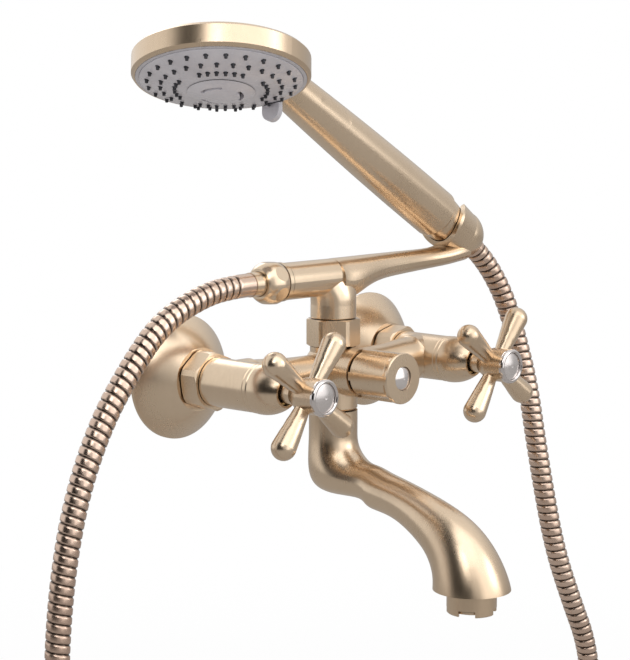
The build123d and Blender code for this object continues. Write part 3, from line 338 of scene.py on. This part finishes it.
# hose: an interlocked strip wound along the route, from the outlet round to the handle
# sizes are in metres, and only the route's control points are in millimetres
hoseSettings = {
    "length": 1.2472,
    "radius": 0.00615,
    "grooveDepth": 0.00065,
    "pitch": 0.00465,
    "plainEnd": 0.0085,
    "followStart": (-0.06, 0, 0),
    "followEnd": (0.0966, 0, 0),
    "around": 32,
    "steps": 12,
    "curveSteps": 48,
    "curveOrder": 3,
    # one turn of the strip runs from 0 to 1: the groove's end, the climb and fall of the rib's flanks,
    # and the crown's drop, crest and reach
    "groove": {"end": 0.16, "rise": 0.14, "fall": 0.08, "drop": 0.12, "crest": 0.6, "reach": 0.4},
    # the painted shade in the grooves fades out sooner up the rib's flank as this grows
    "grooveShade": 1.25,
    "plainFade": 0.001,
    "route": [
        (-63.8, -43, 58.7), (-72.8, -43, 58.7), (-95.4, -43, 56.3), (-124.9, -43, 44.7), (-145.9, -43, 23.4),
        (-165.7, -43, -2.5), (-181.9, -43, -37.8), (-191.9, -43.2, -81.8), (-196.6, -44.5, -131.4),
        (-194.5, -46.8, -185.1), (-184.1, -50.7, -240.7), (-164.3, -55.6, -295), (-134.3, -62, -344.6),
        (-94.4, -70, -384.6), (-47.7, -79, -406.5), (1.7, -86, -408.4), (49.7, -90, -392.4),
        (93.3, -91.2, -362.8), (130.3, -90.5, -324.9), (158.8, -89.6, -284), (177, -88.8, -243.9),
        (183.7, -88.2, -207.2), (179.3, -87.4, -174.9), (167.3, -83.5, -145.6), (157.9, -78.2, -114.7),
        (153.6, -72.9, -80.8), (151.2, -67.3, -46.6), (149.9, -62.1, -14.9), (146.3, -56.1, 12.5),
        (142, -50.6, 35.7), (131.9, -46.2, 55.3), (118.14, -43, 69.62), (96.58, -43, 82.27),
    ],
}


# points along the smooth curve through the control points
def readPath(points, resolution, order):
    curveData = bpy.data.curves.new("hoseLine", "CURVE")
    curveData.dimensions = "3D"
    curveData.resolution_u = resolution
    spline = curveData.splines.new("NURBS")
    spline.points.add(len(points) - 1)
    for target, point in zip(spline.points, points):
        target.co = (*[value / 1000 for value in point], 1.0)
    spline.order_u = order
    spline.use_endpoint_u = True
    line = bpy.data.objects.new("hoseLine", curveData)
    scene.collection.objects.link(line)
    bpy.context.view_layer.update()
    mesh = bpy.data.meshes.new_from_object(line.evaluated_get(bpy.context.evaluated_depsgraph_get()))
    found = [vertex.co.copy() for vertex in mesh.vertices]
    bpy.data.objects.remove(line)
    bpy.data.meshes.remove(mesh)
    return found


def clamped(value):
    return min(max(value, 0.0), 1.0)


# the same line again with evenly spaced points, and its length
def evenly(points, spacing):
    along = [0.0]
    for first, second in zip(points, points[1:]):
        along.append(along[-1] + (second - first).length)
    count = max(2, round(along[-1] / spacing))
    spots, index = [], 0
    for step in range(count + 1):
        distance = along[-1] * step / count
        while index < len(points) - 2 and along[index + 1] < distance:
            index += 1
        gap = max(along[index + 1] - along[index], 1e-9)
        share = clamped((distance - along[index]) / gap)
        spots.append(points[index].lerp(points[index + 1], share))
    return spots, along[-1]


# height of the strip over one turn: 0 at the bottom of the groove, 1 at the crest of the rib
def stripProfile(phase, groove):
    rise = clamped((phase - groove["end"]) / groove["rise"])
    fall = clamped((1.0 - phase) / groove["fall"])
    crown = 1.0 - groove["drop"] * ((phase - groove["crest"]) / groove["reach"]) ** 2
    return math.sin(0.5 * math.pi * min(rise, fall)) * crown


def windHose(settings):
    line = readPath(settings["route"], settings["curveSteps"], settings["curveOrder"])
    spots, total = evenly(line, settings["pitch"] / settings["steps"])
    print("stage: hose line", round(total, 4), "m long")
    verts, faces, paintedGrooveShade = [], [], []
    side = Vector((0, 1, 0))
    around = settings["around"]
    for index, spot in enumerate(spots):
        ahead = (spots[min(index + 1, len(spots) - 1)] - spots[max(index - 1, 0)]).normalized()
        side = (side - ahead * side.dot(ahead)).normalized()
        other = ahead.cross(side)
        distance = total * index / (len(spots) - 1)
        turnsAlong = distance / settings["pitch"]
        ribbed = clamped((distance - settings["plainEnd"]) / settings["plainFade"])
        for step in range(around):
            angle = 2 * math.pi * step / around
            high = 1.0 - ribbed * (1.0 - stripProfile((turnsAlong + step / around) % 1.0, settings["groove"]))
            radius = settings["radius"] - settings["grooveDepth"] * (1.0 - high)
            verts.append(spot + (side * math.cos(angle) + other * math.sin(angle)) * radius)
            # painted shade: the deeper into the groove between the ribs, the darker
            paintedGrooveShade.append(max(0.0, 1.0 - high * settings["grooveShade"]))
    for index in range(len(spots) - 1):
        for step in range(around):
            low, nextStep = index * around, (step + 1) % around
            faces.append((low + step, low + nextStep, low + around + nextStep, low + around + step))
    last = (len(spots) - 1) * around
    faces.append(tuple(reversed(range(around))))
    faces.append(tuple(range(last, last + around)))
    mesh = bpy.data.meshes.new("hoseStrip")
    mesh.from_pydata(verts, [], faces)
    # the groove layer holds the painted shade of the grooves
    layer = mesh.attributes.new("groove", "FLOAT", "POINT")
    layer.data.foreach_set("value", paintedGrooveShade)
    mesh.polygons.foreach_set("use_smooth", [True] * len(mesh.polygons))
    mesh.update()
    hose = bpy.data.objects.new("hoseStrip", mesh)
    scene.collection.objects.link(hose)
    mesh.materials.append(materials["hose_steel"])
    return hose, line


hose, hoseLine = windHose(hoseSettings)
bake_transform(hose)
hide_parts("shower_hose")
print("stage: hose wound")


# studio: pale floor, soft lamps, and cards that only mirrored rays see
# a card points towards a direction, with its half width and soft edge in degrees
studio = {
    "floorHeight": -0.46,
    "floorSize": 9.0,
    "floorColour": (0.44, 0.43, 0.42, 1),
    "background": (1.0, 1.0, 1.0, 1),
    "skyColour": (1.0, 1.0, 1.0, 1),
    "fill": 0.82,
    "horizon": 0.42,
    "ceiling": 0.90,
    "skyRange": (-0.2, 0.9),
    "floorFade": (0.45, 1.5),
    "floorWhite": (0.94, 1.0),
    "lamps": [
        {"name": "keyLamp", "place": (-1.5, -1.0, 1.3), "size": 0.9, "energy": 5.0},
        {"name": "sideLamp", "place": (0.9, -1.6, 0.7), "size": 0.8, "energy": 3.0},
        {"name": "backLamp", "place": (0.6, 1.3, 0.9), "size": 0.8, "energy": 2.5},
    ],
    "cards": [
        {"towards": (-0.50, 0.87, 0.0), "width": 48, "soft": 25, "level": 0.86},
        {"towards": (-0.97, -0.17, 0.0), "width": 24, "soft": 18, "level": 0.0},
        {"towards": (0.25, -0.97, 0.0), "width": 24, "soft": 16, "level": 1.5},
        {"towards": (-0.25, -0.45, 0.86), "width": 14, "soft": 14, "level": 1.8},
    ],
}


def makeCardGroup():
    inputs = [
        ("Direction", "Vector", None),
        ("Towards", "Vector", None),
        ("Inner", "Float", 0.9),
        ("Outer", "Float", 0.8),
    ]
    tree, given, out = newGroup("studioCard", inputs, [("Mask", "Float")])
    facing = vectorNode(tree, "DOT_PRODUCT", given["Direction"], given["Towards"])["Value"]
    tree.links.new(mapRange(tree, facing, given["Outer"], given["Inner"], smooth=True), out["Mask"])
    return tree


def backgroundNode(tree, colour, strength):
    return addNode(tree, "ShaderNodeBackground", {"Color": colour, "Strength": strength}).outputs[0]


# the camera sees a plain background, mirrored rays see the cards, and all other rays an even sky
def makeWorld(settings):
    world = bpy.data.worlds.new("studioWorld")
    world.use_nodes = True
    scene.world = world
    tree = world.node_tree
    tree.nodes.clear()
    direction = tree.nodes.new("ShaderNodeTexCoord").outputs["Generated"]
    level = addNode(tree, "ShaderNodeSeparateXYZ", {0: direction}).outputs["Z"]
    flat = vectorNode(tree, "NORMALIZE", vectorNode(tree, "MULTIPLY", direction, (1.0, 1.0, 0.0))[0])[0]
    value = mapRange(tree, level, *settings["skyRange"], settings["horizon"], settings["ceiling"], smooth=True)
    cardGroup = makeCardGroup()
    for card in settings["cards"]:
        # an upright card reaches from floor to ceiling, a tilted one is a round patch
        towards = Vector(card["towards"]).normalized()
        mask = addNode(tree, "ShaderNodeGroup", {
            "Direction": direction if towards.z else flat,
            "Towards": towards,
            "Inner": math.cos(math.radians(card["width"])),
            "Outer": math.cos(math.radians(card["width"] + card["soft"])),
        }, node_tree=cardGroup)
        value = mixValue(tree, mask.outputs["Mask"], value, card["level"])
    mirrored = backgroundNode(tree, settings["skyColour"], value)
    plain = backgroundNode(tree, settings["skyColour"], settings["fill"])
    seen = backgroundNode(tree, settings["background"], 1.0)
    rays = tree.nodes.new("ShaderNodeLightPath").outputs
    shiny = mixShader(tree, rays["Is Glossy Ray"], plain, mirrored)
    shown = mixShader(tree, rays["Is Camera Ray"], shiny, seen)
    addNode(tree, "ShaderNodeOutputWorld", {"Surface": shown})


# the floor takes light like matte paper and fades to white as the camera sees it
def makeFloor(settings):
    half = settings["floorSize"] / 2
    mesh = bpy.data.meshes.new("studioFloor")
    corners = [(-half, -half), (half, -half), (half, half), (-half, half)]
    mesh.from_pydata([(x, y, settings["floorHeight"]) for x, y in corners], [], [(0, 1, 2, 3)])
    floor = bpy.data.objects.new("studioFloor", mesh)
    scene.collection.objects.link(floor)
    material = bpy.data.materials.new("studioFloor")
    material.use_nodes = True
    tree = material.node_tree
    tree.nodes.clear()
    matte = addNode(tree, "ShaderNodeBsdfDiffuse", {"Color": settings["floorColour"]}).outputs[0]
    bright = addNode(tree, "ShaderNodeEmission", {"Color": settings["background"], "Strength": 1.0}).outputs[0]
    rays = tree.nodes.new("ShaderNodeLightPath").outputs
    place = tree.nodes.new("ShaderNodeTexCoord").outputs["Object"]
    away = vectorNode(tree, "LENGTH", place)["Value"]
    white = mapRange(tree, away, *settings["floorFade"], *settings["floorWhite"], smooth=True)
    seen = mathNode(tree, "MULTIPLY", rays["Is Camera Ray"], white)
    addNode(tree, "ShaderNodeOutputMaterial", {"Surface": mixShader(tree, seen, matte, bright)})
    mesh.materials.append(material)


def addLamps(settings):
    for lamp in settings["lamps"]:
        data = bpy.data.lights.new(lamp["name"], "AREA")
        data.shape = "DISK"
        data.size = lamp["size"]
        data.energy = lamp["energy"]
        light = bpy.data.objects.new(lamp["name"], data)
        light.location = lamp["place"]
        light.rotation_euler = (-Vector(lamp["place"])).to_track_quat("-Z", "Y").to_euler()
        scene.collection.objects.link(light)


makeWorld(studio)
makeFloor(studio)
addLamps(studio)
print("stage: studio lit")
